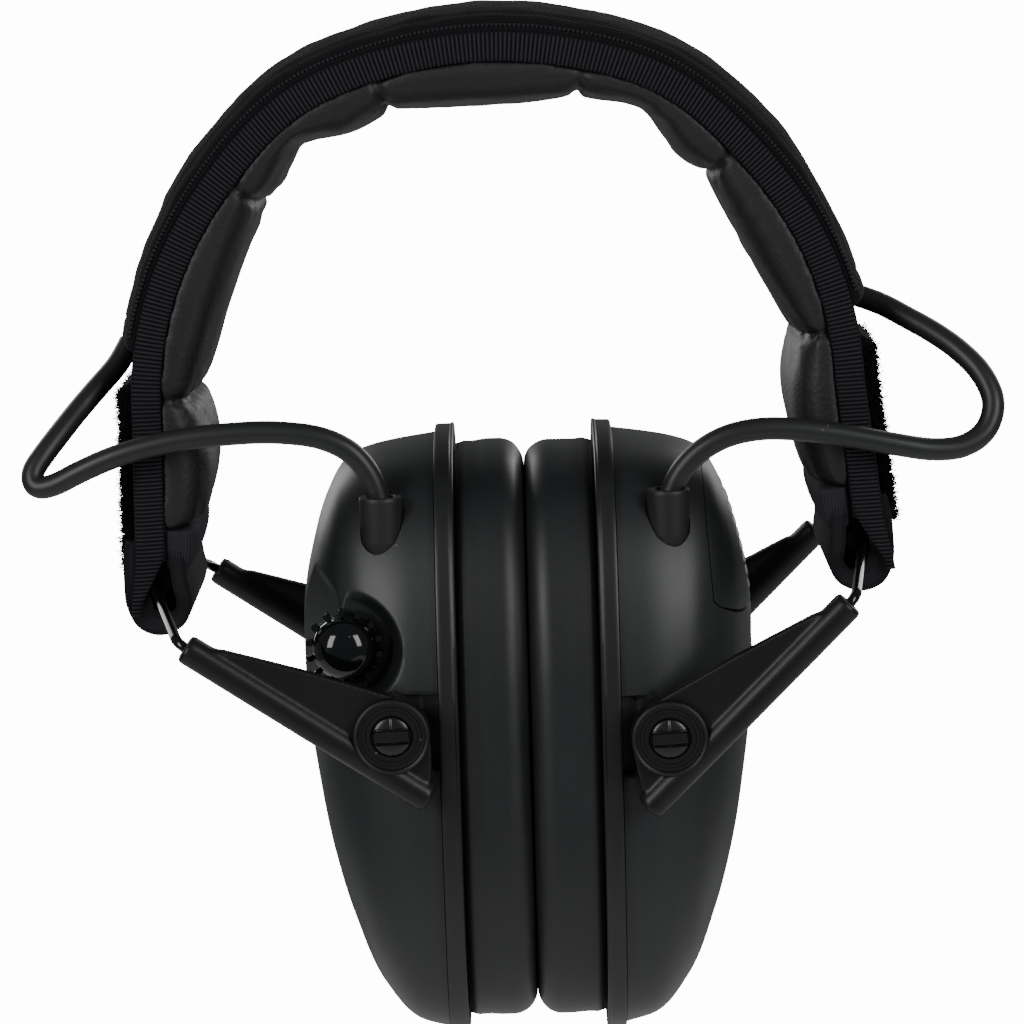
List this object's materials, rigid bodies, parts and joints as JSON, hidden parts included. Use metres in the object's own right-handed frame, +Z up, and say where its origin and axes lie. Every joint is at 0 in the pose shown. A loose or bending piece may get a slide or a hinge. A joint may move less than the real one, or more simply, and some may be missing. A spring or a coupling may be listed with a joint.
{
  "type": "electronic earmuff hearing protector",
  "caption": "Folding electronic earmuff: padded spring headband, wire yokes, sliding arms, slim oval cups with ear cushions, volume knob and battery door, side cables.",
  "frame": {"origin": "underside of the headband's cushion at its crown, on the middle plane", "axes": "+Z up through the crown, +X to the viewer's right facing the volume knob, the front faces -Y"},
  "size_m": [0.1809, 0.0858, 0.1898],
  "materials": {
    "cover_fabric": "fine woven twill, matt black",
    "cushion_leather": "soft grained leatherette, low sheen",
    "sleeve_fabric": "smooth woven cloth",
    "ribbon": "ribbed grosgrain binding",
    "loop_pile": "hook-and-loop pile",
    "spring_steel": "spring steel strip",
    "black_wire": "glossy black plated spring wire",
    "arm_plastic": "satin moulded nylon",
    "shell_plastic": "satin moulded ABS with a fine texture",
    "rim_plastic": "satin moulded ABS",
    "ear_leather": "smooth soft leatherette over foam",
    "foam": "open-cell foam",
    "speaker_parts": "speaker basket and magnet",
    "pin_plastic": "smooth moulded pin",
    "knob_plastic": "polished black",
    "gland_rubber": "moulded rubber sleeve",
    "cable_rubber": "matt rubber jacket",
    "board": "green circuit board",
    "metal_part": "nickel-plated steel",
    "cell": "plain cell sleeve"
  },
  "bodies": {
    "headband": {"spring_band": "spring_steel", "band_sleeve": "sleeve_fabric", "band_cover": "cover_fabric", "band_lead": "cable_rubber", "head_cushion": "cushion_leather", "front_binding": "ribbon", "rear_binding": "ribbon", "left_loop_strip": "loop_pile", "right_loop_strip": "loop_pile", "left_end_tab": "sleeve_fabric", "right_end_tab": "sleeve_fabric", "left_cable": "cable_rubber", "right_cable": "cable_rubber"},
    "left_yoke": {"left_yoke_wire": "black_wire"},
    "left_arms": {"left_front_arm": "arm_plastic", "left_rear_arm": "arm_plastic"},
    "left_cup": {"left_shell": "shell_plastic", "left_rim": "rim_plastic", "left_ear_cushion": "ear_leather", "left_foam_liner": "foam", "left_speaker": "speaker_parts", "left_front_pivot": "pin_plastic", "left_rear_pivot": "pin_plastic", "left_cable_gland": "gland_rubber", "left_microphone": "metal_part", "volume_control": "metal_part", "circuit_board": "board", "audio_jack": "metal_part"},
    "right_yoke": {"right_yoke_wire": "black_wire"},
    "right_arms": {"right_front_arm": "arm_plastic", "right_rear_arm": "arm_plastic"},
    "right_cup": {"right_shell": "shell_plastic", "right_rim": "rim_plastic", "right_ear_cushion": "ear_leather", "right_foam_liner": "foam", "right_speaker": "speaker_parts", "right_front_pivot": "pin_plastic", "right_rear_pivot": "pin_plastic", "right_cable_gland": "gland_rubber", "right_microphone": "metal_part", "battery_tray": "pin_plastic", "batteries": "cell"},
    "volume_knob": {"volume_knob": "knob_plastic"},
    "battery_door": {"battery_door": "shell_plastic"}
  },
  "joints": [
    {"name": "left_fold", "type": "hinge", "parent": "headband", "child": "left_yoke", "pos_m": [-0.0636, 0, -0.0816], "axis": [0, 1, 0], "range_deg": [-60, 18], "deforming": ["left_ear_cushion", "right_ear_cushion", "left_cable"]},
    {"name": "left_height", "type": "slide", "parent": "left_yoke", "child": "left_arms", "axis": [0.809, 0, -0.5879], "range_m": [0, 0.018], "deforming": ["left_ear_cushion", "right_ear_cushion", "left_cable"]},
    {"name": "left_tilt", "type": "hinge", "parent": "left_arms", "child": "left_cup", "pos_m": [-0.02225, 0, -0.10621], "axis": [0, 1, 0], "range_deg": [-18, 60], "deforming": ["left_cable"]},
    {"name": "right_fold", "type": "hinge", "parent": "headband", "child": "right_yoke", "pos_m": [0.0636, 0, -0.0816], "axis": [0, -1, 0], "range_deg": [-60, 18], "deforming": ["left_ear_cushion", "right_ear_cushion", "right_cable"]},
    {"name": "right_height", "type": "slide", "parent": "right_yoke", "child": "right_arms", "axis": [-0.736, 0, -0.677], "range_m": [0, 0.018], "deforming": ["left_ear_cushion", "right_ear_cushion", "right_cable"]},
    {"name": "right_tilt", "type": "hinge", "parent": "right_arms", "child": "right_cup", "pos_m": [0.02655, 0, -0.1097], "axis": [0, -1, 0], "range_deg": [-18, 60], "deforming": ["right_cable"]},
    {"name": "volume_turn", "type": "hinge", "parent": "left_cup", "child": "volume_knob", "pos_m": [-0.02999, -0.0346, -0.09222], "axis": [0, -1, 0], "range_deg": [-270, 0]},
    {"name": "battery_door_swing", "type": "hinge", "parent": "right_cup", "child": "battery_door", "pos_m": [0.04196, 0, -0.09215], "axis": [0, 1, 0], "range_deg": [0, 30]}
  ],
  "couplings": [
    {"joint": "right_fold", "follows": "left_fold", "ratio": 1},
    {"joint": "left_tilt", "follows": "left_fold", "ratio": -1},
    {"joint": "right_tilt", "follows": "left_fold", "ratio": -1}
  ]
}
